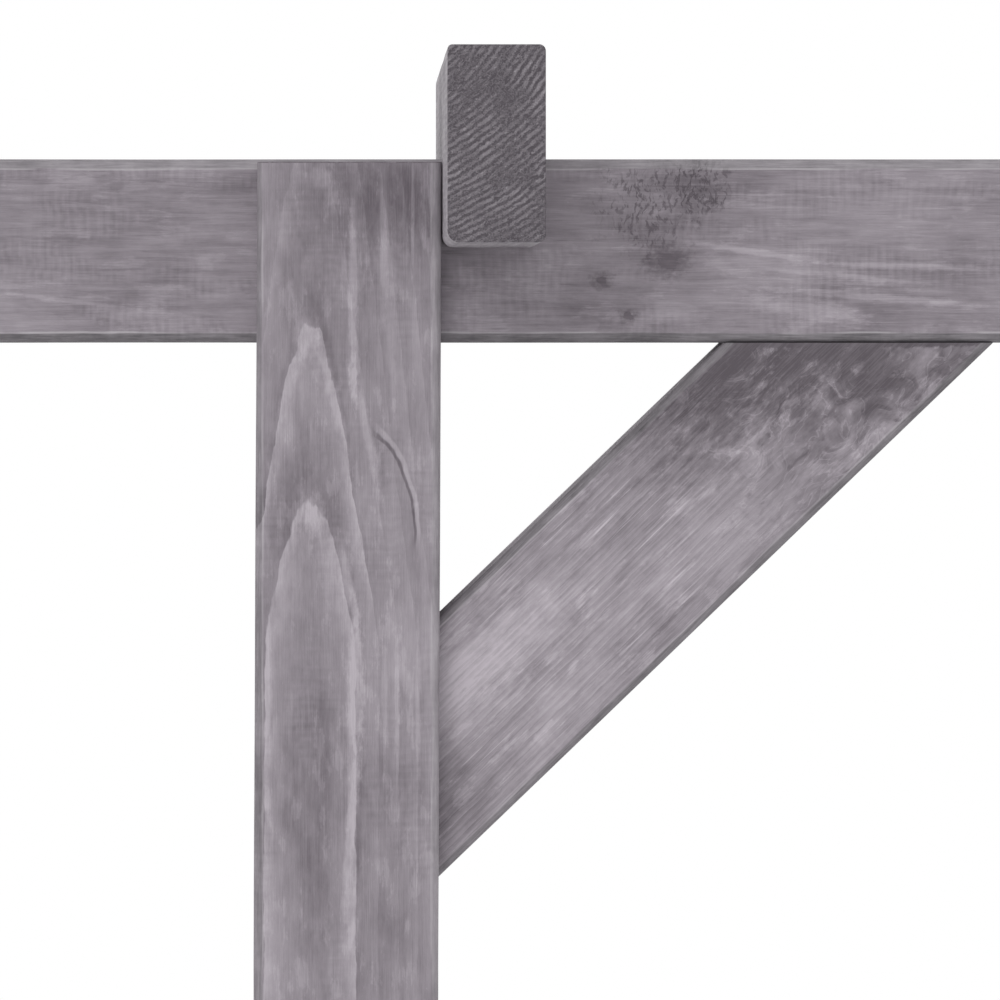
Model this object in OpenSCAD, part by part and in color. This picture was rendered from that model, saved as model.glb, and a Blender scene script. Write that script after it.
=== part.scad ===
// Garden pergola: one row of posts carrying a beam, with short crosspieces notched over
// the beam and a diagonal brace in every corner between a post and the beam.
// X runs along the beam, Y points to the rear, Z is up. The origin is the centre of the
// middle post's foot, on the ground.

/* [Overall] */
// Distance between the centres of neighbouring posts
bay_length = 1800; // [1200:50:2600]
// Clear height from the ground to the underside of the beam
clear_height = 2065; // [1600:5:2600]

/* [Posts] */
// Side of the square posts
post_side = 90; // [80:1:140]

/* [Beam] */
// Thickness of the beam, front to rear
beam_thickness = 45; // [30:1:60]
// Height of the beam
beam_height = 90; // [70:1:140]
// Length of beam beyond the outer side of each end post
beam_overhang = 350; // [250:10:600]

/* [Crosspieces] */
// Width of a crosspiece along the beam
cross_width = 45.5; // [30:0.5:70]
// Height of a crosspiece
cross_height = 91.5; // [80:0.5:140]
// Length of a crosspiece, front to rear
cross_length = 400; // [200:10:600]
// How far a crosspiece reaches down over the beam
cross_lap = 43.5; // [20:0.5:60]
// Distance from the end of the beam to the middle of the last crosspiece
cross_end_distance = 100; // [60:5:150]

/* [Braces] */
// Thickness of a brace, front to rear
brace_thickness = 45; // [30:1:60]
// Width of a brace across its slope
brace_width = 92; // [70:1:120]
// Height of a brace's long edge along the post
brace_rise = 262; // [220:1:500]
// Length of a brace's long edge along the beam
brace_run = 272; // [220:1:500]

/* [Fit] */
// Radius of the eased long edges of every timber
edge_radius = 4; // [1:0.5:8]
// Clearance at each side of a slot or notch
joint_gap = 0.5; // [0.2:0.1:2]
// Gap between a post and the crosspiece beside it
post_gap = 1.5; // [0.5:0.5:5]

/* [Hidden] */
$fn = 48;
cut = 1;

crosspieces_per_bay = 5;
post_height = clear_height + beam_height;
slot_width = beam_thickness + 2 * joint_gap;
notch_width = beam_thickness + 2 * joint_gap;
cross_bottom = post_height - cross_lap;
beam_end = bay_length + post_side / 2 + beam_overhang;
beam_length = beam_end - joint_gap / 2;

// Middle of the first crosspiece of a bay, measured from the middle of its post
cross_first = post_side / 2 + post_gap + cross_width / 2;
cross_step = (bay_length - 2 * cross_first) / (crosspieces_per_bay - 1);
cross_bay_x = [for (i = [0 : crosspieces_per_bay - 1]) cross_first + i * cross_step];
cross_end_x = beam_end - cross_end_distance;
cross_x = concat(
    [-cross_end_x],
    [for (x = cross_bay_x) x - bay_length],
    cross_bay_x,
    [cross_end_x]
);

// Section of a sawn timber, centred, with eased corners
module eased_rectangle(width, depth) {
    square([width - 2 * edge_radius, depth], center = true);
    square([width, depth - 2 * edge_radius], center = true);
    for (x = [-1, 1], y = [-1, 1])
        translate([x * (width / 2 - edge_radius), y * (depth / 2 - edge_radius)])
            circle(edge_radius);
}

// Post with a through slot at the top that takes the beam, its top flush with the beam's
module post(x) {
    translate([x, 0, 0])
        difference() {
            linear_extrude(post_height)
                eased_rectangle(post_side, post_side);
            translate([-post_side / 2 - cut, -slot_width / 2, clear_height])
                cube([post_side + 2 * cut, slot_width, beam_height + cut]);
        }
}

// Half of the beam, from the middle post out past the end post
module beam_half() {
    translate([joint_gap / 2, 0, clear_height + beam_height / 2])
        rotate([90, 0, 90])
            linear_extrude(beam_length)
                eased_rectangle(beam_thickness, beam_height);
}

// Brace in the corner at the right of a post: upright cut on the post, level cut under the beam
module brace_at_corner() {
    slope = atan2(brace_rise, brace_run);
    long_edge = norm([brace_run, brace_rise]);
    middle_line = brace_run * brace_rise / long_edge - brace_width / 2;
    intersection() {
        translate([middle_line * sin(slope), 0, -middle_line * cos(slope)])
            rotate([0, 90 - slope, 0])
                translate([0, 0, -long_edge])
                    linear_extrude(2 * long_edge)
                        eased_rectangle(brace_width, brace_thickness);
        translate([0, -brace_thickness, -brace_rise - cut])
            cube([brace_run + cut, 2 * brace_thickness, brace_rise + cut]);
    }
}

// Brace beside the post at x; side is 1 to its right and -1 to its left
module brace(x, side) {
    translate([x + side * post_side / 2, 0, clear_height])
        mirror([side < 0 ? 1 : 0, 0, 0])
            brace_at_corner();
}

// Short crosspiece, square cut at both ends, notched from below over the beam
module crosspiece(x) {
    translate([x, 0, cross_bottom])
        difference() {
            translate([0, cross_length / 2, cross_height / 2])
                rotate([90, 0, 0])
                    linear_extrude(cross_length)
                        eased_rectangle(cross_width, cross_height);
            translate([-cross_width / 2 - cut, -notch_width / 2, -cut])
                cube([cross_width + 2 * cut, notch_width, cross_lap + cut]);
        }
}

module post_left() {
    color("#8a828a") post(-bay_length);
}

module post_middle() {
    color("#8a828a") post(0);
}

module post_right() {
    color("#8a828a") post(bay_length);
}

module beam_left() {
    color("#857d85") mirror([1, 0, 0]) beam_half();
}

module beam_right() {
    color("#857d85") beam_half();
}

module brace_left_end() {
    color("#969096") brace(-bay_length, 1);
}

module brace_middle_left() {
    color("#969096") brace(0, -1);
}

module brace_middle_right() {
    color("#969096") brace(0, 1);
}

module brace_right_end() {
    color("#969096") brace(bay_length, -1);
}

// Crosspiece by number, counted from the left end of the beam
module crosspiece_number(n) {
    color("#7d757d") crosspiece(cross_x[n - 1]);
}

post_left();
post_middle();
post_right();
beam_left();
beam_right();
brace_left_end();
brace_middle_left();
brace_middle_right();
brace_right_end();
for (n = [1 : len(cross_x)])
    crosspiece_number(n);
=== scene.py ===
"""Looks of the garden pergola: every timber is a detailed mesh with a grain of its own.

Lengths are metres. The grain works in millimetres along each timber's own axes: x and y run
across the timber and z along it, and the shaders read them from the mesh's grain attribute.
"""
import math

import bmesh
import bpy
from mathutils import Matrix, Vector, noise


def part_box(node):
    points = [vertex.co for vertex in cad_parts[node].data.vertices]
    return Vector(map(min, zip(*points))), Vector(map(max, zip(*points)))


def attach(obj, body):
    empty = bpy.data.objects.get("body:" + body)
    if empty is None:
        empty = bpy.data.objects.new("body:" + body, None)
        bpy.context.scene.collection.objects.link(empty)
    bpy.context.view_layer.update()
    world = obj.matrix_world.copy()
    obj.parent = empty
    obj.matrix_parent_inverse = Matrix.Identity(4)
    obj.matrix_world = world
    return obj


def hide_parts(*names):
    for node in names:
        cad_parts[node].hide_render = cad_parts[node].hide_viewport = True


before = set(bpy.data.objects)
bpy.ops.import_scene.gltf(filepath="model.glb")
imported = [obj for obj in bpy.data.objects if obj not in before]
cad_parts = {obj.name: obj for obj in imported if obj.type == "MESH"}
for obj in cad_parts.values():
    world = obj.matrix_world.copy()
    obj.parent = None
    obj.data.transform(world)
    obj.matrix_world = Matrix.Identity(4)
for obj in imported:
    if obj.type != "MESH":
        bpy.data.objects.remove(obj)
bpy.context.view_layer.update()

MM = 0.001
BODY = "root"

# ---------------------------------------------------------------- sizes taken from the frame

POST_LOW, POST_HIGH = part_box("post_left")
BEAM_LOW, BEAM_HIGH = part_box("beam_left")
BRACE_LOW, BRACE_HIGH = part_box("brace_left_end")
CROSS_LOW, CROSS_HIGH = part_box("crosspiece_2")

POST_SIDE = POST_HIGH.x - POST_LOW.x
POST_TOP = POST_HIGH.z
BEAM_THICKNESS = BEAM_HIGH.y - BEAM_LOW.y
BEAM_HEIGHT = BEAM_HIGH.z - BEAM_LOW.z
BEAM_BOTTOM = BEAM_LOW.z
BRACE_RUN = BRACE_HIGH.x - BRACE_LOW.x
BRACE_RISE = BRACE_HIGH.z - BRACE_LOW.z
BRACE_THICKNESS = BRACE_HIGH.y - BRACE_LOW.y
CROSS_WIDTH = CROSS_HIGH.x - CROSS_LOW.x
CROSS_HEIGHT = CROSS_HIGH.z - CROSS_LOW.z
CROSS_LAP = BEAM_HIGH.z - CROSS_LOW.z
LEFT_POST_X = (POST_LOW.x + POST_HIGH.x) / 2

# Sizes of the CAD part that its boxes don't show
BRACE_WIDTH = 0.092
JOINT_GAP = 0.0005
EDGE_RADIUS = 0.004

# Looks only: how much each edge of a crosspiece is eased, how far the posts stop below the
# beam's top, and how far the left post leans at each height below it
CROSS_EASING = (0.7, 1.3, 0.55, 0.7)
POST_SHORT = 0.002
POST_LEAN = ((0.0, 0.0013), (-0.2, 0.0003), (-0.39, -0.0005), (-2.2, 0.0))

# ---------------------------------------------------------------- shader building


WHITE = (1.0, 1.0, 1.0, 1.0)


class Tree:
    """Short names for the shader nodes used here. An input is a number, a tuple or a socket."""

    def __init__(self, tree):
        self.tree = tree

    def put(self, socket, value):
        if isinstance(value, bpy.types.NodeSocket):
            self.tree.links.new(value, socket)
        elif value is not None:
            socket.default_value = value

    def node(self, kind, inputs=(), **settings):
        made = self.tree.nodes.new(kind)
        for name, value in settings.items():
            setattr(made, name, value)
        for key, value in dict(inputs).items():
            self.put(made.inputs[key], value)
        return made

    def math(self, operation, a, b=None, c=None, clamp=False):
        inputs = {0: a, 1: b, 2: c}
        return self.node("ShaderNodeMath", inputs, operation=operation, use_clamp=clamp).outputs[0]

    def add(self, *terms):
        total = terms[0]
        for term in terms[1:]:
            total = self.math("ADD", total, term)
        return total

    def mul(self, *factors):
        total = factors[0]
        for factor in factors[1:]:
            total = self.math("MULTIPLY", total, factor)
        return total

    def sub(self, a, b):
        return self.math("SUBTRACT", a, b)

    def vector(self, operation, a, b=None):
        inputs = {0: a, 1: b}
        return self.node("ShaderNodeVectorMath", inputs, operation=operation).outputs[0]

    def smooth(self, value, low, high):
        """0 below low, 1 above high, with a soft step between them; high may be the lower one."""
        flip = high < low
        inputs = {"Value": value, "From Min": min(low, high), "From Max": max(low, high)}
        step = self.node("ShaderNodeMapRange", inputs, interpolation_type="SMOOTHSTEP").outputs[0]
        return self.sub(1.0, step) if flip else step

    def mix(self, factor, a, b):
        made = self.node("ShaderNodeMix", {"Factor": factor}, data_type="RGBA")
        self.put(made.inputs[6], a)
        self.put(made.inputs[7], b)
        return made.outputs[2]

    def noise(self, position, cell, detail=2.0, roughness=0.5):
        """Noise around zero whose features are about cell millimetres across, a length per axis."""
        scaled = self.vector("DIVIDE", position, tuple(cell))
        made = self.node(
            "ShaderNodeTexNoise",
            {"Vector": scaled, "Scale": 1.0, "Detail": detail, "Roughness": roughness},
        )
        return self.sub(made.outputs["Fac"], 0.5)

    def noise_vector(self, position, cell, detail=2.0):
        scaled = self.vector("DIVIDE", position, tuple(cell))
        made = self.node("ShaderNodeTexNoise", {"Vector": scaled, "Scale": 1.0, "Detail": detail})
        return self.vector("SUBTRACT", made.outputs["Color"], (0.5, 0.5, 0.5))

    def length(self, vector):
        return self.node("ShaderNodeVectorMath", {0: vector}, operation="LENGTH").outputs["Value"]

    def scale(self, vector, amount):
        inputs = {0: vector, "Scale": amount}
        return self.node("ShaderNodeVectorMath", inputs, operation="SCALE").outputs[0]

    def split(self, vector):
        return self.node("ShaderNodeSeparateXYZ", {0: vector}).outputs[:]

    def join(self, x, y, z):
        return self.node("ShaderNodeCombineXYZ", {0: x, 1: y, 2: z}).outputs[0]


def new_group(name, inputs, outputs):
    """An empty node group and its input sockets by name. inputs maps a name to its default."""
    group = bpy.data.node_groups.new(name, "ShaderNodeTree")
    kinds = {float: "NodeSocketFloat", tuple: "NodeSocketColor", Vector: "NodeSocketVector"}
    for key, value in inputs.items():
        socket = group.interface.new_socket(key, in_out="INPUT", socket_type=kinds[type(value)])
        socket.default_value = value
    for key, kind in outputs.items():
        group.interface.new_socket(key, in_out="OUTPUT", socket_type=kind)
    tree = Tree(group)
    source = tree.node("NodeGroupInput")
    result = tree.node("NodeGroupOutput")
    return group, tree, source.outputs, result.inputs


def knot_group():
    """A knot: how far it pushes the growth rings aside, and how dark it is."""
    inputs = {"Position": Vector((0, 0, 0)), "Centre": Vector((0, 0, 0)), "Radius": 5.0}
    outputs = {"Push": "NodeSocketFloat", "Dark": "NodeSocketFloat"}
    group, t, given, result = new_group("knot", inputs, outputs)
    x, y, z = t.split(t.vector("SUBTRACT", given["Position"], given["Centre"]))
    ragged = t.noise(given["Position"], (2.2, 2.2, 3.0), detail=3.0, roughness=0.65)
    square = t.add(t.mul(x, x), t.mul(y, y, 0.2), t.mul(z, z, 0.5))
    distance = t.math("DIVIDE", t.math("POWER", square, 0.5), given["Radius"])
    push = t.math("EXPONENT", t.mul(distance, distance, -0.16))
    core = t.smooth(t.add(distance, t.mul(ragged, 2.0)), 1.2, 0.7)
    rim = t.mul(t.smooth(t.add(distance, t.mul(ragged, 4.0)), 3.0, 0.8), 0.35)
    t.put(result["Push"], t.mul(push, given["Radius"], 0.9))
    t.put(result["Dark"], t.math("MAXIMUM", core, rim))
    return group


def torn_group():
    """Torn grain: short dark nicks across the fibres, thickest in the middle of the patch."""
    inputs = {
        "Position": Vector((0, 0, 0)),
        "Centre": Vector((0, 0, 0)),
        "Size": Vector((20, 20, 20)),
        "Amount": 1.0,
        "Before": 0.0,
    }
    group, t, given, result = new_group("torn_grain", inputs, {"Dark": "NodeSocketFloat"})
    offset = t.vector("SUBTRACT", given["Position"], given["Centre"])
    reach = t.length(t.vector("DIVIDE", offset, given["Size"]))
    cloud = t.noise(given["Position"], (7, 7, 9), detail=3.0)
    patch = t.smooth(t.add(reach, t.mul(cloud, 1.8)), 1.15, 0.1)
    bend = t.scale(t.noise_vector(given["Position"], (6, 6, 6)), 7.0)
    bent = t.vector("ADD", given["Position"], bend)
    nicks = t.noise(bent, (4.6, 4.6, 1.7), detail=3.0, roughness=0.65)
    dark = t.mul(patch, t.add(0.15, t.mul(t.smooth(nicks, 0.0, 0.12), 1.3)), given["Amount"])
    t.put(result["Dark"], t.math("MAXIMUM", dark, given["Before"]))
    return group


def mark_group():
    """A patch lighter or darker than the timber, added to the marks before it: most are smears of
    wash, and a few are painted shade.
    """
    inputs = {
        "Position": Vector((0, 0, 0)),
        "Centre": Vector((0, 0, 0)),
        "Size": Vector((5, 5, 5)),
        "Slant": 0.0,
        "Amount": 0.1,
        "Ragged": 0.0,
        "Fray": 1.5,
        "Core": 0.3,
        "Before": 0.0,
    }
    group, t, given, result = new_group("mark", inputs, {"Tone": "NodeSocketFloat"})
    x, y, z = t.split(t.vector("SUBTRACT", given["Position"], given["Centre"]))
    leaning = t.join(t.sub(x, t.mul(z, given["Slant"])), y, z)
    reach = t.length(t.vector("DIVIDE", leaning, given["Size"]))
    frayed = t.add(reach, t.mul(given["Ragged"], given["Fray"]))
    share = t.math("DIVIDE", t.sub(1.15, frayed), t.sub(1.15, given["Core"]))
    cover = t.smooth(share, 0.0, 1.0)
    t.put(result["Tone"], t.add(given["Before"], t.mul(cover, given["Amount"])))
    return group


def scratch_group():
    """A curved scratch: a dark line along part of an ellipse, with a lighter lip outside."""
    inputs = {
        "Position": Vector((0, 0, 0)),
        "Centre": Vector((0, 0, 0)),
        "Half X": 20.0,
        "Half Z": 50.0,
    }
    group, t, given, result = new_group("scratch", inputs, {"Tone": "NodeSocketFloat"})
    x, y, z = t.split(t.vector("SUBTRACT", given["Position"], given["Centre"]))
    wobble = t.mul(t.noise(given["Position"], (14, 14, 14)), 0.10)
    across = t.math("DIVIDE", x, given["Half X"])
    along = t.math("DIVIDE", z, given["Half Z"])
    reach = t.add(t.length(t.join(across, 0.0, along)), wobble)
    line = t.smooth(t.math("ABSOLUTE", t.sub(reach, 1.0)), 0.03, 0.008)
    lip = t.smooth(t.math("ABSOLUTE", t.sub(reach, 1.055)), 0.04, 0.012)
    part = t.mul(t.smooth(across, 0.25, 0.5), t.smooth(along, -0.1, 0.15), t.smooth(y, 5.0, 0.0))
    t.put(result["Tone"], t.mul(part, t.sub(t.mul(lip, 0.25), t.mul(line, 0.42))))
    return group


# Tones of the eased edges, which also carry painted light and shade, and of the painted highlight
# line beside them, and the planer's step in millimetres
EDGE_DARK = (0.082, 0.078, 0.083, 1.0)
EDGE_LIGHT = (0.40, 0.375, 0.40, 1.0)
ARRIS_HIGHLIGHT_COLOUR = (0.66, 0.64, 0.66, 1.0)
CHATTER_STEP = 4.6

# What a timber's grain can be told, with the values that it has otherwise
GRAIN_INPUTS = {
    "Seed": 0.0,
    "Pith X": 0.0,
    "Pith Y": 0.0,
    "Boundary": 20.0,
    "Taper": 0.08,
    "Bend Start": -9000.0,
    "Bend Taper": 0.0,
    "Bend End": -9001.0,
    "Ring Width": 8.3,
    "Inner Ring Width": 8.3,
    "Ring Contrast": 0.34,
    "Outer Contrast": 0.6,
    "Outer Start": -100.0,
    "Warp": 4.0,
    "Fibre": 1.0,
    "Strokes": 0.14,
    "Dark Strokes": 0.10,
    "Stroke End": 9000.0,
    "Smears": 0.16,
    "Chatter": 0.022,
    "Blotch": 0.7,
    "Burl": 0.0,
    "Burl Start": 0.0,
    "Edge Tone": 0.5,
    # Edge bias paints the eased edges on one side lighter and on the other darker, as painted light
    # and shade
    "Painted Edge Light": 0.0,
    "Edge Mix": 0.5,
    "Edge Width": 4.0,
    # Arris sets the strength of the painted highlight line along the arrises
    "Painted Arris Highlight": 0.16,
    "Half X": 45.0,
    "Half Y": 45.0,
    "Knot Push": 0.0,
    "Knot Dark": 0.0,
    "Torn": 0.0,
    "Marks": 0.0,
    "Dark": (0.118, 0.101, 0.117, 1.0),
    "Light": (0.430, 0.392, 0.430, 1.0),
    "End Tone": 0.16,
    "End Contrast": 0.30,
}


def washed_timber_group():
    """Softwood under a thin grey wash, from the growth rings outward to the wash on the faces."""
    outputs = {
        "Color": "NodeSocketColor",
        "Roughness": "NodeSocketFloat",
        "Height": "NodeSocketFloat",
    }
    group, t, given, result = new_group("washed_timber", GRAIN_INPUTS, outputs)
    place = t.node("ShaderNodeAttribute", attribute_name="grain").outputs["Vector"]
    end = t.node("ShaderNodeAttribute", attribute_name="end_grain").outputs["Fac"]
    x, y, z = t.split(place)
    seed = given["Seed"]
    seed_shift = t.join(t.mul(seed, 137.0), t.mul(seed, 59.0), t.mul(seed, 911.0))
    seeded = t.vector("ADD", place, seed_shift)

    def elsewhere(*shift):
        """The same place in a part of the noise that has nothing to do with the rest."""
        return t.vector("ADD", seeded, shift)

    # Growth rings: cones around a pith that leans and wanders
    bend_x, bend_y = t.split(t.noise_vector(seeded, (75, 75, 420)))[:2]
    from_x = t.add(t.sub(x, given["Pith X"]), t.mul(bend_x, given["Warp"]))
    from_y = t.add(t.sub(y, given["Pith Y"]), t.mul(bend_y, given["Warp"]))
    radius = t.math("POWER", t.add(t.mul(from_x, from_x), t.mul(from_y, from_y)), 0.5)
    past_start = t.sub(t.math("MAXIMUM", z, given["Bend Start"]), given["Bend Start"])
    above_bend = t.mul(past_start, given["Taper"])
    in_bend = t.math("MAXIMUM", t.math("MINIMUM", z, given["Bend Start"]), given["Bend End"])
    below_bend = t.mul(t.sub(in_bend, given["Bend Start"]), given["Bend Taper"])
    jag = t.mul(t.noise(seeded, (5.0, 5.0, 15), detail=4.0, roughness=0.5), 2.2)
    beyond = t.sub(radius, given["Boundary"])
    growth = t.add(beyond, above_bend, below_bend, jag, given["Knot Push"])
    outer = t.math("DIVIDE", t.math("MAXIMUM", growth, 0.0), given["Ring Width"])
    inner = t.math("DIVIDE", t.math("MINIMUM", growth, 0.0), given["Inner Ring Width"])
    ring = t.math("FRACT", t.add(outer, inner))
    ring_light = t.mul(t.math("POWER", ring, 2.0), t.smooth(ring, 1.0, 0.97))
    outside = t.smooth(t.sub(growth, given["Outer Start"]), 0.0, 1.0)
    past_bend = t.mul(t.smooth(growth, 2.0, 4.0), t.smooth(t.sub(z, given["Bend End"]), 50.0, 0.0))
    calm = t.mul(t.math("MAXIMUM", outside, past_bend), t.sub(1.0, given["Outer Contrast"]))
    ring_strength = t.mul(given["Ring Contrast"], t.sub(1.0, calm))

    # The wash: it pools in soft patches, catches on raised fibres and drags along the brush
    cover_noise = t.noise(seeded, (7, 7, 18), detail=4.0, roughness=0.65)
    ring_cover = t.math("MAXIMUM", t.add(0.9, t.mul(cover_noise, 3.2)), 0.15)
    fine_fibre = t.noise(seeded, (0.7, 0.7, 16), detail=3.0, roughness=0.6)
    coarse_fibre = t.noise(seeded, (2.6, 2.6, 70), detail=3.0)
    brush = t.noise(elsewhere(71.0, 13.0, 37.0), (1.2, 1.2, 60), detail=3.0, roughness=0.6)
    stroke_place = t.smooth(t.sub(z, given["Stroke End"]), 60.0, -30.0)
    stroke_patch = t.noise(seeded, (17, 17, 45), detail=2.0)
    light_patch = t.smooth(stroke_patch, -0.06, 0.1)
    brush_light = t.mul(t.smooth(brush, 0.07, 0.22), light_patch, stroke_place)
    brush_dark = t.mul(t.smooth(brush, -0.08, -0.24), t.smooth(stroke_patch, 0.06, -0.12))
    cloud = t.noise(seeded, (9, 9, 19), detail=4.0, roughness=0.62)
    blotch = t.noise(elsewhere(19.0, 83.0, 7.0), (42, 42, 90), detail=2.0)
    smear_noise = t.noise(elsewhere(31.0, 5.0, 61.0), (8, 8, 22), detail=5.0, roughness=0.65)
    smear = t.mul(t.smooth(smear_noise, 0.05, 0.13), t.add(0.7, t.mul(fine_fibre, 2.0)))
    specks = t.smooth(t.noise(seeded, (0.9, 0.9, 2.4), detail=2.0, roughness=0.6), 0.16, 0.3)
    wave_shift = t.mul(t.noise(seeded, (14, 14, 40)), 12.0)
    wave = t.math("SINE", t.mul(t.add(z, wave_shift), math.tau / CHATTER_STEP))
    cross = t.noise(seeded, (26, 26, 1.3), detail=2.0)
    chatter_patch = t.smooth(t.noise(seeded, (22, 22, 60)), -0.05, 0.12)
    chatter = t.mul(t.add(wave, t.mul(cross, 6.0)), chatter_patch)

    # Burl: swirling grain that is stained darker
    swirl = t.vector("ADD", seeded, t.scale(t.noise_vector(seeded, (38, 38, 44)), 70.0))
    burl = t.noise(swirl, (20, 20, 48), detail=5.0, roughness=0.6)
    light_curls = t.noise(t.vector("ADD", swirl, (5.0, 5.0, 5.0)), (9, 9, 40), detail=4.0)
    light_line = t.smooth(t.math("ABSOLUTE", light_curls), 0.022, 0.0)
    burl_place = t.smooth(t.add(t.sub(z, given["Burl Start"]), t.mul(cloud, 160.0)), -25.0, 45.0)
    burl_cover = t.mul(given["Burl"], burl_place)
    dark_curls = t.noise(t.vector("ADD", swirl, (9.0, 2.0, 4.0)), (5, 5, 24), detail=4.0)
    curls = t.sub(t.mul(light_line, 0.16), t.mul(t.smooth(dark_curls, 0.04, 0.2), 0.2))
    burl_tone = t.mul(burl_cover, t.add(t.mul(burl, 1.5), -0.06, curls))
    straight = t.sub(1.0, t.mul(burl_cover, 0.85))

    tone = t.add(
        t.add(0.44, given["Marks"], burl_tone),
        t.mul(t.sub(ring_light, 0.25), ring_strength, ring_cover, straight),
        t.mul(t.add(t.mul(fine_fibre, 0.5), t.mul(coarse_fibre, 0.55)), given["Fibre"], straight),
        t.mul(brush_light, given["Strokes"], straight),
        t.mul(brush_dark, given["Dark Strokes"], straight, -1.0),
        t.mul(smear, given["Smears"]),
        t.mul(t.add(blotch, t.mul(cloud, 0.75)), given["Blotch"]),
        t.mul(chatter, given["Chatter"]),
        t.mul(specks, 0.12),
        t.mul(given["Knot Dark"], -0.8),
        t.mul(given["Torn"], -0.55),
    )
    tone = t.math("SMOOTH_MAX", tone, t.add(0.04, t.mul(t.add(cloud, fine_fibre), 0.35)), 0.25)

    # Sawn ends drink more stain; the late wood of each ring is darkest and the saw leaves pits
    pits = t.noise(seeded, (0.8, 0.8, 0.8), detail=3.0, roughness=0.7)
    along_rings = t.join(t.mul(from_x, 0.55), growth, t.mul(from_y, 0.55))
    flecks = t.noise(along_rings, (1.2, 1.2, 1.2), detail=2.0, roughness=0.6)
    late = t.smooth(t.math("ABSOLUTE", t.sub(ring, 0.5)), 0.10, 0.40)
    patchy = t.noise(seeded, (11, 11, 11), detail=3.0)
    late_cover = t.math("MAXIMUM", t.add(0.6, t.mul(patchy, 3.5)), 0.1)
    end_tone = t.add(
        given["End Tone"],
        t.mul(t.sub(0.5, late), given["End Contrast"], late_cover),
        t.mul(t.smooth(flecks, 0.05, 0.16), -0.26),
        t.mul(t.smooth(flecks, -0.12, -0.24), 0.26),
        t.mul(pits, 0.75),
        t.mul(patchy, 0.3),
    )
    tone = t.math("ADD", t.mul(tone, t.sub(1.0, end)), t.mul(end_tone, end), clamp=True)
    colour = t.mix(tone, given["Dark"], given["Light"])

    # Eased long edges: a plainer grey where the wash is rubbed thin, plus painted light and shade,
    # lighter on one side and darker on the other by the edge bias
    in_x = t.sub(t.math("ABSOLUTE", x), t.sub(given["Half X"], given["Edge Width"]))
    in_y = t.sub(t.math("ABSOLUTE", y), t.sub(given["Half Y"], given["Edge Width"]))
    ragged_edge = t.mul(t.noise(seeded, (8, 8, 40), detail=3.0), 1.3)
    depth_in_edge = t.add(t.math("MINIMUM", in_x, in_y), ragged_edge)
    edge = t.smooth(depth_in_edge, 0.0, 0.7)
    # Painted light and shade: a positive edge bias lightens the +x edges and darkens the -x edges
    side = t.mul(t.math("SIGN", x), given["Painted Edge Light"])
    edge_base = t.add(given["Edge Tone"], side, t.mul(fine_fibre, 0.8))
    edge_tone = t.math("ADD", edge_base, t.mul(cloud, 0.9), clamp=True)
    edge_colour = t.mix(edge_tone, EDGE_DARK, EDGE_LIGHT)
    face = t.sub(1.0, end)
    colour = t.mix(t.mul(edge, face, given["Edge Mix"]), colour, edge_colour)
    # Painted highlight: a thin light line where the flat meets the eased edge, patchy along the
    # timber
    highlight_line_mask = t.smooth(t.math("ABSOLUTE", depth_in_edge), 0.75, 0.15)
    patchy_highlight_line = t.mul(highlight_line_mask, t.smooth(stroke_patch, -0.1, 0.08))
    colour = t.mix(t.mul(patchy_highlight_line, face, given["Painted Arris Highlight"]), colour, ARRIS_HIGHLIGHT_COLOUR)
    t.put(result["Color"], colour)

    rough = t.add(0.66, t.mul(tone, -0.10), t.mul(end, 0.12))
    t.put(result["Roughness"], rough)
    face_height = t.add(
        t.mul(fine_fibre, 0.30),
        t.mul(cloud, 0.25),
        t.mul(given["Torn"], -0.35),
        t.mul(given["Knot Dark"], 0.15),
    )
    height = t.add(t.mul(face_height, face), t.mul(pits, end, 0.9))
    t.put(result["Height"], height)
    return group


KNOT = knot_group()
TORN = torn_group()
MARK = mark_group()
SCRATCH = scratch_group()
TIMBER = washed_timber_group()

# How a mark's edge frays: a large one fades out softly, a small one keeps a crisp edge
SOFT_MARK_SIZE = 9.0
SOFT_MARK = {"Fray": 1.1, "Core": -0.2}
CRISP_MARK = {"Fray": 1.8, "Core": 0.4}


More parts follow.
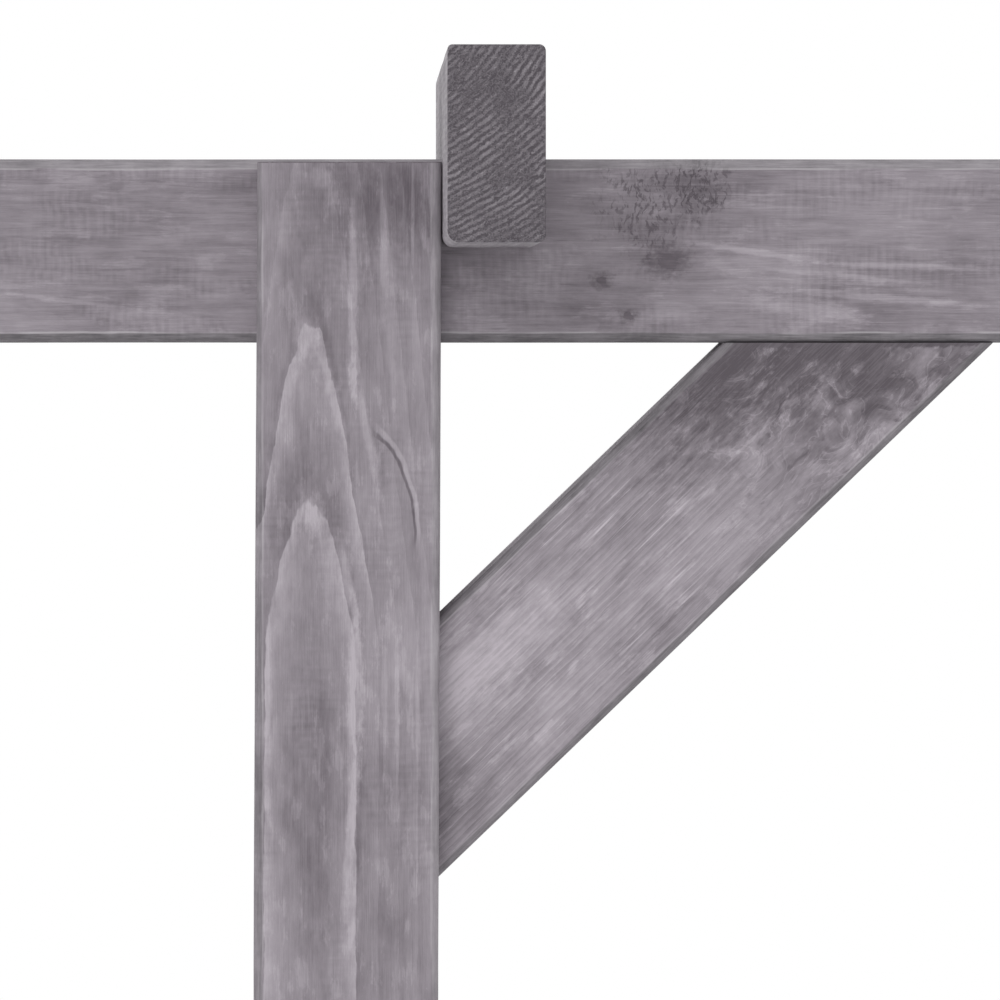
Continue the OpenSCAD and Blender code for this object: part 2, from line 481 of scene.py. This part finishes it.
def timber_material(name, half_x, half_y, grain):
    """A washed timber. grain overrides GRAIN_INPUTS, and its lists place knots, torn grain,
    marks and scratches in millimetres along the timber's own axes."""
    material = bpy.data.materials.new(name)
    material.use_nodes = True
    t = Tree(material.node_tree)
    t.tree.nodes.clear()
    settings = dict(grain)
    knots = settings.pop("knots", [])
    torn = settings.pop("torn", [])
    marks = settings.pop("marks", [])
    scratches = settings.pop("scratches", [])
    shader = t.node("ShaderNodeBsdfPrincipled", {"Specular IOR Level": 0.25})
    t.node("ShaderNodeOutputMaterial", {"Surface": shader.outputs[0]})
    place = t.node("ShaderNodeAttribute", attribute_name="grain").outputs["Vector"]

    def placed(group, **inputs):
        """The outputs of a group that works on the timber's own coordinates."""
        return t.node("ShaderNodeGroup", {"Position": place, **inputs}, node_tree=group).outputs

    push, dark = 0.0, 0.0
    for x, y, z, radius in knots:
        knot = placed(KNOT, Centre=(x, y, z), Radius=radius)
        push = t.add(push, knot["Push"])
        dark = t.math("MAXIMUM", dark, knot["Dark"])
    torn_dark = 0.0
    for centre, size, amount in torn:
        torn_dark = placed(TORN, Centre=centre, Size=size, Amount=amount, Before=torn_dark)["Dark"]
    tone = 0.0
    if marks:
        ragged = t.noise(place, (3.2, 3.2, 9.0), detail=5.0, roughness=0.68)
        for centre, size, slant, amount in marks:
            edge = SOFT_MARK if min(size[0], size[2]) > SOFT_MARK_SIZE else CRISP_MARK
            shape = {"Centre": centre, "Size": size, "Slant": slant, "Amount": amount, **edge}
            tone = placed(MARK, Ragged=ragged, Before=tone, **shape)["Tone"]
    for centre, scratch_x, scratch_z in scratches:
        shape = {"Centre": centre, "Half X": scratch_x, "Half Z": scratch_z}
        tone = t.add(tone, placed(SCRATCH, **shape)["Tone"])
    sizes = {"Half X": half_x / MM, "Half Y": half_y / MM}
    found = {"Knot Push": push, "Knot Dark": dark, "Torn": torn_dark, "Marks": tone}
    timber = t.node("ShaderNodeGroup", {**settings, **sizes, **found}, node_tree=TIMBER).outputs
    bump = t.node("ShaderNodeBump", {"Height": timber["Height"], "Distance": MM, "Strength": 0.7})
    t.put(shader.inputs["Base Color"], timber["Color"])
    t.put(shader.inputs["Roughness"], timber["Roughness"])
    t.put(shader.inputs["Normal"], bump.outputs[0])
    return material


# ---------------------------------------------------------------- timber meshes

CORNER_STEPS = 6
SUPPORT = 0.0006
RING_STEP = 0.010
END_BEVEL = 0.0004
# How the edges and faces waver along a timber: waves per metre, and how far they go
EDGE_WAVES, EDGE_SWING = 9, 0.22
DENT_WAVES, DENT_START, DENT_SWING = 60, 0.62, 1.25
FACE_WAVES, FACE_SWING = 6, 0.00018
# A face is end grain when its normal has more than this share along the timber
END_FACING = 0.3
SHARP_ANGLE = math.radians(28)


def eased_section(half_x, half_y, radii, inset=0.0):
    """Points of a rectangle with eased corners, with a support point on each flat beside them."""
    points = []
    corners = ((1, 1, 0), (-1, 1, 90), (-1, -1, 180), (1, -1, 270))
    for (sign_x, sign_y, start), radius in zip(corners, radii):
        centre = Vector((sign_x * (half_x - radius), sign_y * (half_y - radius)))
        arc = []
        for step in range(CORNER_STEPS + 1):
            angle = math.radians(start + 90 * step / CORNER_STEPS)
            arc.append(centre + Vector((math.cos(angle), math.sin(angle))) * (radius - inset))
        first, last = math.radians(start), math.radians(start + 90)
        before = arc[0] - Vector((-math.sin(first), math.cos(first))) * SUPPORT
        after = arc[-1] + Vector((-math.sin(last), math.cos(last))) * SUPPORT
        points += [before] + arc + [after]
    return points


def wavering(z, seed):
    """Smooth values from -1 to 1 along a timber."""
    return noise.noise(Vector((z, seed * 7.13, seed * 3.71)))


def timber_mesh(half_x, half_y, z_low, z_high, seed, easing=(1.0, 1.0, 1.0, 1.0)):
    """A timber along z as a bmesh. Its edges are eased by a varying amount and its faces waver.

    easing scales the edge radius of the corners (+x +y), (-x +y), (-x -y) and (+x -y).
    """
    bm = bmesh.new()
    steps = max(2, round((z_high - z_low) / RING_STEP))
    stations = [(z_low, END_BEVEL), (z_low + END_BEVEL, 0.0)]
    stations += [(z_low + (z_high - z_low) * i / steps, 0.0) for i in range(1, steps)]
    stations += [(z_high - END_BEVEL, 0.0), (z_high, END_BEVEL)]
    rings = []
    for z, inset in stations:
        radii = []
        for corner in range(4):
            slow = EDGE_SWING * wavering(z * EDGE_WAVES, seed + corner * 2.3)
            bump = wavering(z * DENT_WAVES, seed + corner * 5.9)
            dent = DENT_SWING * max(0.0, bump - DENT_START)
            radii.append(EDGE_RADIUS * easing[corner] * (1.0 + slow + dent))
        shrink_x = FACE_SWING * abs(wavering(z * FACE_WAVES, seed + 11))
        shrink_y = FACE_SWING * abs(wavering(z * FACE_WAVES, seed + 17))
        section = eased_section(half_x - shrink_x, half_y - shrink_y, radii, inset)
        rings.append([bm.verts.new((p.x, p.y, z)) for p in section])
    count = len(rings[0])
    for low, high in zip(rings, rings[1:]):
        for i in range(count):
            j = (i + 1) % count
            bm.faces.new((low[i], low[j], high[j], high[i]))
    bm.faces.new(list(reversed(rings[0])))
    bm.faces.new(rings[-1])
    bm.normal_update()
    return bm


def cut_by_plane(bm, point, normal):
    """Removes what lies beyond a plane, on the side its normal points to, and closes the cut."""
    geometry = bm.verts[:] + bm.edges[:] + bm.faces[:]
    plane = {"plane_co": point, "plane_no": normal}
    bmesh.ops.bisect_plane(bm, geom=geometry, clear_outer=True, dist=1e-6, **plane)
    open_edges = [edge for edge in bm.edges if edge.is_boundary]
    bmesh.ops.holes_fill(bm, edges=open_edges, sides=0)
    bm.normal_update()


def cut_by_box(mesh, low, high):
    """Cuts a box out of a mesh and returns the mesh that is left."""
    cutter_bm = bmesh.new()
    bmesh.ops.create_cube(cutter_bm, size=1.0)
    centre = (Vector(low) + Vector(high)) / 2
    size = Vector(high) - Vector(low)
    for vertex in cutter_bm.verts:
        vertex.co = centre + Vector(a * b for a, b in zip(vertex.co, size))
    cutter_mesh = bpy.data.meshes.new("cutter")
    cutter_bm.to_mesh(cutter_mesh)
    cutter_bm.free()
    body = bpy.data.objects.new("body", mesh)
    cutter = bpy.data.objects.new("cutter", cutter_mesh)
    for piece in (body, cutter):
        bpy.context.scene.collection.objects.link(piece)
    modifier = body.modifiers.new("cut", "BOOLEAN")
    modifier.operation = "DIFFERENCE"
    modifier.solver = "EXACT"
    modifier.object = cutter
    bpy.context.view_layer.update()
    depsgraph = bpy.context.evaluated_depsgraph_get()
    result = bpy.data.meshes.new_from_object(body.evaluated_get(depsgraph))
    for piece in (body, cutter):
        bpy.data.objects.remove(piece)
    return result


def finish_timber(node, mesh, placement, half_x, half_y, grain):
    """Marks the grain on a local mesh, puts it in place, and lets it stand for the CAD node."""
    place = mesh.attributes.new("grain", "FLOAT_VECTOR", "POINT")
    for vertex in mesh.vertices:
        place.data[vertex.index].vector = vertex.co / MM
    end = mesh.attributes.new("end_grain", "FLOAT", "FACE")
    for face in mesh.polygons:
        end.data[face.index].value = 1.0 if abs(face.normal.z) > END_FACING else 0.0
    mesh.shade_smooth()
    mesh.set_sharp_from_angle(angle=SHARP_ANGLE)
    mesh.transform(placement)
    mesh.materials.clear()
    mesh.materials.append(timber_material(node + "_wood", half_x, half_y, grain))
    piece = bpy.data.objects.new(node + "_timber", mesh)
    bpy.context.scene.collection.objects.link(piece)
    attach(piece, BODY)
    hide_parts(node)
    return piece


def axes(x_axis, y_axis, z_axis, origin):
    """Placement that takes a timber's own axes to the given ones."""
    turn = Matrix((x_axis, y_axis, z_axis)).transposed().to_4x4()
    return Matrix.Translation(origin) @ turn


def to_mesh(bm):
    """The bmesh as a mesh. It frees the bmesh."""
    mesh = bpy.data.meshes.new("timber")
    bm.to_mesh(mesh)
    bm.free()
    return mesh


def lean(z):
    """How far the left post's top leans to the right, and its middle to the left."""
    for (z_high, high), (z_low, low) in zip(POST_LEAN, POST_LEAN[1:]):
        if z >= z_low:
            share = (z_high - z) / (z_high - z_low)
            return high + (low - high) * share
    return 0.0


def build_post(node, seed, grain):
    """Square post, forked at the top for the beam. Its own z is measured from the beam's top."""
    low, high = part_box(node)
    half = POST_SIDE / 2
    mesh = to_mesh(timber_mesh(half, half, low.z - high.z, -POST_SHORT, seed))
    if node == "post_left":
        for vertex in mesh.vertices:
            vertex.co.x += lean(vertex.co.z)
    slot_half = BEAM_THICKNESS / 2 + JOINT_GAP
    reach = POST_SIDE
    mesh = cut_by_box(mesh, (-reach, -slot_half, BEAM_BOTTOM - POST_TOP), (reach, slot_half, reach))
    origin = Vector(((low.x + high.x) / 2, 0.0, high.z))
    placement = axes((1, 0, 0), (0, 1, 0), (0, 0, 1), origin)
    finish_timber(node, mesh, placement, half, half, grain)


def build_beam(node, seed, grain):
    """Half of the beam. Its own z runs to the right, from the middle of the nearest end post."""
    low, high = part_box(node)
    start = LEFT_POST_X if low.x < LEFT_POST_X else -LEFT_POST_X
    half_x, half_y = BEAM_HEIGHT / 2, BEAM_THICKNESS / 2
    mesh = to_mesh(timber_mesh(half_x, half_y, low.x - start, high.x - start, seed))
    origin = Vector((start, 0.0, (low.z + high.z) / 2))
    placement = axes((0, 0, -1), (0, 1, 0), (1, 0, 0), origin)
    finish_timber(node, mesh, placement, half_x, half_y, grain)


def build_brace(node, seed, grain):
    """Brace in a corner under the beam, cut upright at the post and level at the beam."""
    low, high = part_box(node)
    at_left_of_bay = "left_end" in node or "middle_right" in node
    side = 1 if at_left_of_bay else -1
    corner = Vector((low.x if at_left_of_bay else high.x, 0.0, high.z))
    long_edge = math.hypot(BRACE_RUN, BRACE_RISE)
    slope_cos, slope_sin = BRACE_RUN / long_edge, BRACE_RISE / long_edge
    middle_line = BRACE_RUN * BRACE_RISE / long_edge - BRACE_WIDTH / 2
    half_x, half_y = BRACE_WIDTH / 2, BRACE_THICKNESS / 2
    bm = timber_mesh(half_x, half_y, -long_edge, long_edge, seed)
    to_corner = Vector((-middle_line, 0.0, 0.0))
    post_side = Vector((-slope_sin, 0.0, -slope_cos))
    beam_side = Vector((-slope_cos, 0.0, slope_sin))
    cut_by_plane(bm, to_corner, post_side)
    cut_by_plane(bm, to_corner, beam_side)
    mesh = to_mesh(bm)
    along = Vector((side * slope_cos, 0.0, slope_sin))
    outward = Vector((side * slope_sin, 0.0, -slope_cos))
    origin = corner + outward * middle_line
    placement = axes(outward, (0, side, 0), along, origin)
    finish_timber(node, mesh, placement, half_x, half_y, grain)


def build_crosspiece(node, seed, grain):
    """Short crosspiece, notched from below. Its own z runs from its front end to the rear."""
    low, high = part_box(node)
    half_x, half_y = CROSS_WIDTH / 2, CROSS_HEIGHT / 2
    mesh = to_mesh(timber_mesh(half_x, half_y, low.y, high.y, seed, CROSS_EASING))
    notch_half = BEAM_THICKNESS / 2 + JOINT_GAP
    notch_top = half_y - CROSS_LAP
    notch_low = (-CROSS_WIDTH, notch_top, -notch_half)
    mesh = cut_by_box(mesh, notch_low, (CROSS_WIDTH, CROSS_HEIGHT, notch_half))
    origin = Vector(((low.x + high.x) / 2, 0.0, (low.z + high.z) / 2))
    placement = axes((1, 0, 0), (0, 0, -1), (0, 1, 0), origin)
    finish_timber(node, mesh, placement, half_x, half_y, grain)


# ---------------------------------------------------------------- the timbers

# The front faces of a post, and of a beam or brace, along the timber's own y
FRONT = -POST_SIDE / 2 / MM
BEAM_FRONT = -BEAM_THICKNESS / 2 / MM

# Marks and painted shade: middle, half sizes, slant of x against z, and how much lighter (or
# darker, below zero)
POST_LEFT_MARKS_AND_TOP_SHADE = [
    # Painted shade: these two darken the top of the post, most of all beside the crosspiece
    ((0.0, FRONT, -30.0), (70.0, 30.0, 62.0), 0.0, -0.23),
    ((26.0, FRONT, -20.0), (32.0, 30.0, 29.0), 0.0, -0.36),
    ((-14.0, FRONT, -300.0), (24.0, 30.0, 110.0), 0.0, -0.15),
    ((-18.0, FRONT, -130.0), (15.0, 12.0, 42.0), 0.0, 0.13),
    ((-19.5, FRONT, -86.0), (7.0, 12.0, 14.0), 0.0, 0.26),
    ((-6.8, FRONT, -115.0), (3.4, 12.0, 32.0), -0.27, 0.20),
    ((-30.0, FRONT, -118.0), (3.0, 12.0, 26.0), 0.33, 0.10),
    ((-21.0, FRONT, -137.0), (3.5, 12.0, 12.0), 0.0, -0.10),
    ((2.9, FRONT, -66.0), (2.6, 12.0, 56.0), 0.0, 0.34),
    ((2.9, FRONT, -108.0), (2.7, 12.0, 15.0), -0.1, 0.36),
    ((10.7, FRONT, -137.0), (2.8, 12.0, 30.0), -0.2, 0.26),
    ((18.0, FRONT, -40.0), (2.4, 12.0, 44.0), 0.0, 0.26),
    ((22.0, FRONT, -100.0), (2.4, 12.0, 40.0), -0.05, 0.10),
    ((32.0, FRONT, -27.0), (1.1, 12.0, 30.0), 0.0, 0.34),
    ((42.5, FRONT, -90.0), (1.8, 12.0, 60.0), 0.0, 0.25),
    ((-31.0, FRONT, -33.0), (5.0, 12.0, 14.0), 0.0, 0.15),
    ((-12.5, FRONT, -10.0), (7.0, 12.0, 6.5), 0.0, 0.22),
    ((-16.0, FRONT, -172.0), (6.5, 12.0, 10.0), 0.0, 0.30),
    ((1.6, FRONT, -212.0), (3.0, 12.0, 28.0), -0.2, 0.26),
    ((30.0, FRONT, -245.0), (22.0, 20.0, 60.0), 0.0, 0.06),
    ((4.4, FRONT, -256.0), (5.0, 12.0, 42.0), 0.0, 0.34),
    ((2.0, FRONT, -325.0), (2.8, 12.0, 56.0), 0.08, 0.28),
    ((-38.4, FRONT, -258.0), (2.2, 12.0, 32.0), 0.0, 0.2),
    ((18.5, FRONT, -263.0), (1.6, 12.0, 45.0), 0.0, 0.14),
    ((24.3, FRONT, -263.0), (1.4, 12.0, 38.0), 0.0, 0.2),
    ((34.5, FRONT, -268.0), (1.4, 12.0, 45.0), 0.0, 0.18),
]

POSTS = {
    "post_left": {
        "Seed": 1.0, "Pith X": -18.0, "Pith Y": -21.0, "Boundary": 24.0,
        "Taper": 0.095, "Bend Start": -163.8, "Bend Taper": 0.125, "Bend End": -235.0,
        "Inner Ring Width": 12.5, "Warp": 3.0, "Ring Contrast": 0.55,
        # The edge bias here is painted light on the right-hand eased edge and painted shade on the
        # left-hand one
        "Outer Start": 9.0, "Outer Contrast": 0.25, "Edge Tone": 0.50, "Painted Edge Light": 0.28,
        "Fibre": 0.5, "Blotch": 0.7, "Smears": 0.2, "marks": POST_LEFT_MARKS_AND_TOP_SHADE,
        "scratches": [((3.9, FRONT, -187.7), 29.4, 57.4)],
    },
    "post_middle": {
        "Seed": 2.0, "Pith X": 12.0, "Pith Y": -14.0, "Boundary": 26.0, "Taper": 0.03,
        "knots": [(-14.0, FRONT, -640.0, 5.0), (20.0, -FRONT, -1210.0, 6.0)],
    },
    "post_right": {
        "Seed": 3.0, "Pith X": -20.0, "Pith Y": 18.0, "Boundary": 30.0, "Taper": 0.025,
        "knots": [(16.0, FRONT, -980.0, 4.5), (-45.0, 8.0, -420.0, 5.5)],
    },
}

BEAM_LEFT_MARKS = [
    ((0.7, BEAM_FRONT, 202.0), (2.0, 10.0, 40.0), 0.14, 0.26),
    ((7.6, BEAM_FRONT, 275.0), (2.0, 10.0, 55.0), 0.03, 0.24),
    ((12.0, BEAM_FRONT, 240.0), (1.6, 10.0, 46.0), 0.10, 0.18),
    ((22.3, BEAM_FRONT, 255.0), (2.2, 10.0, 66.0), 0.08, 0.26),
    ((29.0, BEAM_FRONT, 226.0), (6.5, 10.0, 34.0), 0.17, 0.26),
    ((30.0, BEAM_FRONT, 118.0), (17.0, 10.0, 52.0), 0.0, -0.20),
    ((32.0, BEAM_FRONT, 160.0), (7.0, 10.0, 18.0), 0.1, 0.16),
    ((-33.0, BEAM_FRONT, 185.0), (14.0, 10.0, 50.0), 0.0, -0.16),
    ((-27.0, BEAM_FRONT, -108.0), (15.0, 10.0, 130.0), 0.0, -0.12),
    ((23.7, BEAM_FRONT, -143.0), (1.3, 10.0, 36.0), 0.12, 0.18),
    ((33.0, BEAM_FRONT, -100.0), (5.5, 10.0, 34.0), 0.1, 0.12),
]

BEAM_GRAIN = {
    # The arris value here strengthens the painted highlight along the beam's arrises
    "Ring Width": 6.2, "Inner Ring Width": 6.2, "Ring Contrast": 0.12, "Dark Strokes": 0.20,
    "Chatter": 0.038, "Painted Arris Highlight": 0.32, "Edge Mix": 0.8, "Edge Width": 5.0, "Fibre": 0.8,
}

BEAMS = {
    "beam_left": {
        **BEAM_GRAIN, "Seed": 4.0, "Pith X": 36.0, "Pith Y": -2.5, "Boundary": 20.0,
        "Taper": 0.095, "Bend Start": 257.0, "Bend Taper": 0.095, "Bend End": -2000.0,
        # The edge bias here is painted shade on the lower eased edge and painted light on the upper
        # one
        "Edge Tone": 0.42, "Painted Edge Light": -0.22,
        "knots": [
            (5.6, BEAM_FRONT, 157.0, 3.6), (14.4, BEAM_FRONT, 125.0, 1.9),
            (32.0, BEAM_FRONT, 137.6, 1.8), (-10.0, -BEAM_FRONT, -900.0, 5.0),
        ],
        "torn": [
            ((-34.0, BEAM_FRONT, 172.0), (22.0, 15.0, 18.0), 1.6),
            ((-24.0, BEAM_FRONT, 148.0), (30.0, 15.0, 28.0), 0.6),
        ],
        "marks": BEAM_LEFT_MARKS,
    },
    "beam_right": {
        **BEAM_GRAIN, "Seed": 5.0, "Pith X": -30.0, "Pith Y": 4.0, "Boundary": 24.0,
        "Taper": 0.05, "knots": [(8.0, BEAM_FRONT, -760.0, 4.5), (-16.0, BEAM_FRONT, -1500.0, 3.5)],
    },
}

BRACE_GRAIN = {
    "Pith X": -130.0, "Pith Y": -10.0, "Boundary": 120.0, "Taper": 0.01, "Warp": 12.0,
    "Ring Width": 3.1, "Inner Ring Width": 3.1, "Ring Contrast": 0.26,
    "Dark": (0.098, 0.084, 0.097, 1.0), "Light": (0.52, 0.475, 0.52, 1.0), "Blotch": 0.8,
    "Strokes": 0.52, "Stroke End": 20.0, "Smears": 0.2, "Burl": 1.0, "Burl Start": 50.0,
    "Fibre": 0.8, "Edge Tone": 0.34, "Edge Mix": 0.75, "Chatter": 0.01,
}
BRACE_MARKS_AND_JOINT_SHADE = [
    # Painted shade: a thin dark line along the top cut, where the brace meets the beam's underside
    ((-16.0, BEAM_FRONT, 131.0), (3.0, 12.0, 80.0), 0.963, -0.60),
    ((-34.0, BEAM_FRONT, 84.0), (42.0, 24.0, 66.0), 0.0, -0.66),
    ((24.0, BEAM_FRONT, 160.0), (36.0, 20.0, 36.0), 0.6, -0.30),
    ((-10.0, BEAM_FRONT, 132.0), (52.0, 20.0, 32.0), 0.9, -0.26),
    ((-5.0, BEAM_FRONT, 113.0), (25.0, 20.0, 32.0), 0.0, -0.34),
    ((14.0, BEAM_FRONT, 94.0), (12.0, 20.0, 17.0), 0.0, 0.26),
    ((8.0, BEAM_FRONT, -60.0), (34.0, 20.0, 80.0), 0.0, 0.15),
    ((36.0, BEAM_FRONT, 100.0), (10.0, 12.0, 30.0), 0.2, 0.18),
    ((-20.0, BEAM_FRONT, -118.0), (30.0, 20.0, 76.0), 0.0, 0.44),
]

CROSS_GRAIN = {
    "Pith X": -93.0, "Pith Y": -115.0, "Boundary": 148.0, "Taper": 0.01, "Ring Width": 3.0,
    "Inner Ring Width": 4.0, "Ring Contrast": 0.18, "Warp": 9.0,
    "Dark": (0.080, 0.070, 0.081, 1.0), "Light": (0.50, 0.465, 0.50, 1.0), "Edge Tone": 0.85,
    "End Tone": 0.145,
}

for index, (node, grain) in enumerate(POSTS.items()):
    build_post(node, 10.0 + index, grain)
for index, (node, grain) in enumerate(BEAMS.items()):
    build_beam(node, 20.0 + index, grain)
brace_nodes = sorted(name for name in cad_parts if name.startswith("brace_"))
for index, node in enumerate(brace_nodes):
    marks = BRACE_MARKS_AND_JOINT_SHADE if node == "brace_left_end" else []
    build_brace(node, 30.0 + index, {**BRACE_GRAIN, "Seed": 6.0 + index, "marks": marks})
cross_nodes = sorted(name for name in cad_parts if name.startswith("crosspiece_"))
for index, node in enumerate(cross_nodes):
    build_crosspiece(node, 40.0 + index, {**CROSS_GRAIN, "Seed": 20.0 + index})

# ---------------------------------------------------------------- camera, light and floor

# The camera that was fitted to the photo, from the left post's middle, the beam's front and its
# underside
CAMERA_OUT = 3.044
CAMERA_RIGHT = 0.0032
CAMERA_UP = 0.0037
FOCAL_LENGTH = 223.7
SHIFT = (0.1465, -0.1648)
SENSOR_WIDTH = 36.0
WORLD_LIGHT = 0.72
FLOOR_SIDE = 16.0
FLOOR_FADE = (4.0, 7.0)
FLOOR_COLOUR = (0.86, 0.86, 0.86, 1.0)
# Each softbox: name, place, what it points at, side in metres and power in watts
SOFTBOXES = (
    ("front_softbox", (-3.0, -5.0, 4.2), (0.0, 0.0, 1.4), 3.0, 95.0),
    ("rear_softbox", (3.5, 5.0, 4.0), (0.0, 0.0, 1.4), 3.0, 70.0),
    ("left_softbox", (-6.0, -1.0, 2.6), (-1.7, 0.0, 2.1), 2.5, 55.0),
)


def build_camera():
    """A level camera, shifted instead of turned, so that the posts and the beam stay square."""
    data = bpy.data.cameras.new("camera")
    data.lens = FOCAL_LENGTH
    data.sensor_width = SENSOR_WIDTH
    data.shift_x, data.shift_y = SHIFT
    camera = bpy.data.objects.new("camera", data)
    camera.location = (LEFT_POST_X + CAMERA_RIGHT, BEAM_LOW.y - CAMERA_OUT, BEAM_BOTTOM + CAMERA_UP)
    camera.rotation_euler = (math.radians(90), 0.0, 0.0)
    bpy.context.scene.collection.objects.link(camera)
    bpy.context.scene.camera = camera


def build_world():
    """A white backdrop for what the camera sees, which lights the object less than it shows."""
    world = bpy.data.worlds.new("studio")
    world.use_nodes = True
    t = Tree(world.node_tree)
    t.tree.nodes.clear()
    path = t.node("ShaderNodeLightPath").outputs
    shiny = t.math("MAXIMUM", path["Is Glossy Ray"], path["Is Transmission Ray"])
    seen = t.math("MAXIMUM", path["Is Camera Ray"], shiny)
    light = t.node("ShaderNodeBackground", {"Color": WHITE, "Strength": WORLD_LIGHT})
    white = t.node("ShaderNodeBackground", {"Color": WHITE, "Strength": 1.0})
    both = t.node("ShaderNodeMixShader", {0: seen, 1: light.outputs[0], 2: white.outputs[0]})
    t.node("ShaderNodeOutputWorld", {"Surface": both.outputs[0]})
    bpy.context.scene.world = world


def build_floor():
    """A pale floor that takes the shadow and fades into the white backdrop."""
    bm = bmesh.new()
    bmesh.ops.create_grid(bm, x_segments=8, y_segments=8, size=FLOOR_SIDE / 2)
    mesh = to_mesh(bm)
    material = bpy.data.materials.new("pale_floor")
    material.use_nodes = True
    t = Tree(material.node_tree)
    t.tree.nodes.clear()
    place = t.node("ShaderNodeTexCoord").outputs["Object"]
    distance = t.length(place)
    camera_ray = t.node("ShaderNodeLightPath").outputs["Is Camera Ray"]
    seen = t.mul(t.smooth(distance, *FLOOR_FADE), camera_ray)
    matt = t.node("ShaderNodeBsdfDiffuse", {"Color": FLOOR_COLOUR})
    white = t.node("ShaderNodeEmission", {"Color": WHITE, "Strength": 1.0})
    both = t.node("ShaderNodeMixShader", {0: seen, 1: matt.outputs[0], 2: white.outputs[0]})
    t.node("ShaderNodeOutputMaterial", {"Surface": both.outputs[0]})
    mesh.materials.append(material)
    floor = bpy.data.objects.new("floor", mesh)
    bpy.context.scene.collection.objects.link(floor)


def add_softbox(name, location, target, size, power):
    """A square lamp that points at its target."""
    data = bpy.data.lights.new(name, "AREA")
    data.shape = "SQUARE"
    data.size = size
    data.energy = power
    lamp = bpy.data.objects.new(name, data)
    lamp.location = location
    lamp.rotation_euler = (Vector(target) - Vector(location)).to_track_quat("-Z", "Y").to_euler()
    bpy.context.scene.collection.objects.link(lamp)


build_camera()
build_world()
build_floor()
for name, location, target, size, power in SOFTBOXES:
    add_softbox(name, location, target, size, power)
bpy.context.scene.view_settings.view_transform = "Standard"
